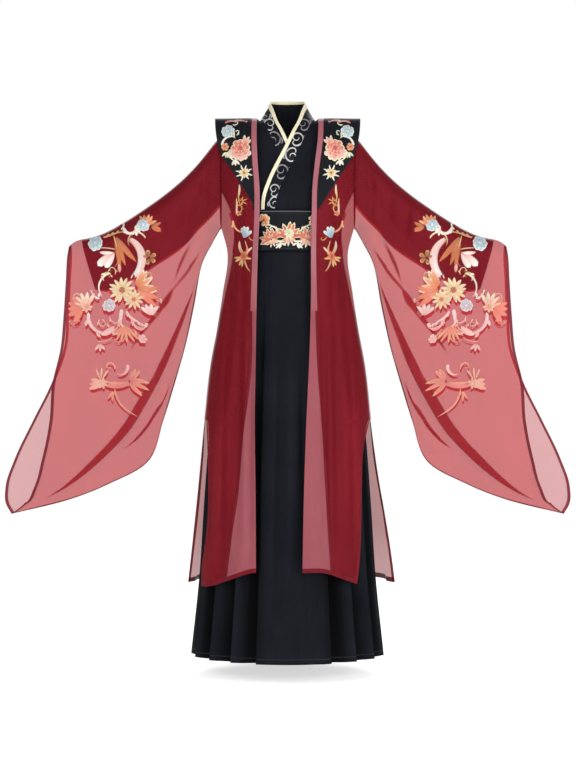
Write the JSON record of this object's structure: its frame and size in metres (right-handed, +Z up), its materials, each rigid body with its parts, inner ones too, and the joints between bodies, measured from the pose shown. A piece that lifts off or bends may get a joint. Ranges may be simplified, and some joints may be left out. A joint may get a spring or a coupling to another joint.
{
  "type": "hanfu robe set",
  "caption": "Hanfu set in worn form: black cross-collar dress with pleated skirt and embroidered belt under a sheer red open robe with wide sleeves, pink bands and embroidered shoulder wings.",
  "frame": {"origin": "on the shoulder line, midway between the shoulders, where the wearer holds the set up", "axes": "+Z up, the front faces -Y, +X is the wearer's left"},
  "size_m": [1.4982, 0.471, 1.4639],
  "materials": {
    "black_cloth": "matt black woven cloth with a faint sheen",
    "black_embroidered": "black satin with coloured silk embroidery",
    "cream_edge": "cream satin edge strip",
    "red_lining": "opaque crimson cloth, soft folds",
    "sheer_red": "sheer crimson organza with embroidery on the sleeves and fronts",
    "pink_band": "dusty pink satin band"
  },
  "bodies": {
    "root": {"dress_front_over": "black_cloth", "dress_front_under": "black_cloth", "dress_back": "black_cloth", "collar_left": "black_embroidered", "collar_right": "black_embroidered", "collar_edge_left": "cream_edge", "collar_edge_right": "cream_edge", "belt": "black_embroidered", "skirt_front": "black_cloth", "skirt_left_front": "black_cloth", "skirt_left_middle": "black_cloth", "skirt_left_back": "black_cloth", "skirt_right_front": "black_cloth", "skirt_right_middle": "black_cloth", "skirt_right_back": "black_cloth", "skirt_back": "black_cloth", "robe_front_left": "sheer_red", "robe_front_right": "sheer_red", "robe_back": "sheer_red", "lining_front_left": "red_lining", "lining_front_right": "red_lining", "sleeve_left": "sheer_red", "sleeve_right": "sheer_red", "sleeve_lining_left": "red_lining", "sleeve_lining_right": "red_lining", "front_band_left": "pink_band", "front_band_right": "pink_band", "shoulder_wing_left": "black_embroidered", "shoulder_wing_right": "black_embroidered"}
  },
  "joints": []
}
